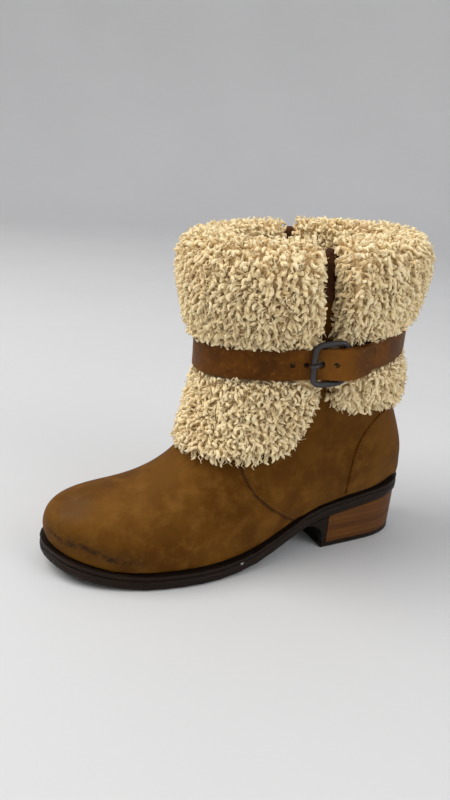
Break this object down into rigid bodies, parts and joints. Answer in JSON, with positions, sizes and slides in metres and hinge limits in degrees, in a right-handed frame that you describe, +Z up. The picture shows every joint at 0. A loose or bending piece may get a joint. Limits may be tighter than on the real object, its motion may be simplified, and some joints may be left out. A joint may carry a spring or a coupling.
{
  "type": "ankle boot",
  "caption": "Left ankle boot in waxed leather with a folded sheepskin cuff, a buckled strap round it and a low stacked heel.",
  "frame": {"origin": "middle of the boot's plan on the floor that it stands on", "axes": "-X from the middle towards the toe, -Y towards the buckle side (the outer side of a left foot), +Z up"},
  "size_m": [0.2786, 0.1566, 0.2344],
  "materials": {
    "waxed_leather": "waxed nubuck, warm chestnut",
    "strap_leather": "smooth dark brown strap leather",
    "sole_rubber": "near-black brown, satin",
    "stacked_leather": "orange-brown stacked layers, polished",
    "insole_fleece": "short fleece",
    "sheepskin": "cream wool with tan shadows",
    "gunmetal": "dark gunmetal, worn satin"
  },
  "bodies": {
    "root": {"outsole": "sole_rubber", "midsole": "sole_rubber", "top_lift": "sole_rubber", "heel_breast": "sole_rubber", "heel_stack": "stacked_leather", "insole": "insole_fleece", "upper": "waxed_leather", "heel_counter": "waxed_leather", "cuff_front": "sheepskin", "cuff_back": "sheepskin", "side_facing_lateral": "strap_leather", "side_facing_medial": "strap_leather", "strap": "strap_leather", "buckle_frame": "gunmetal", "buckle_prong": "gunmetal"}
  },
  "joints": []
}
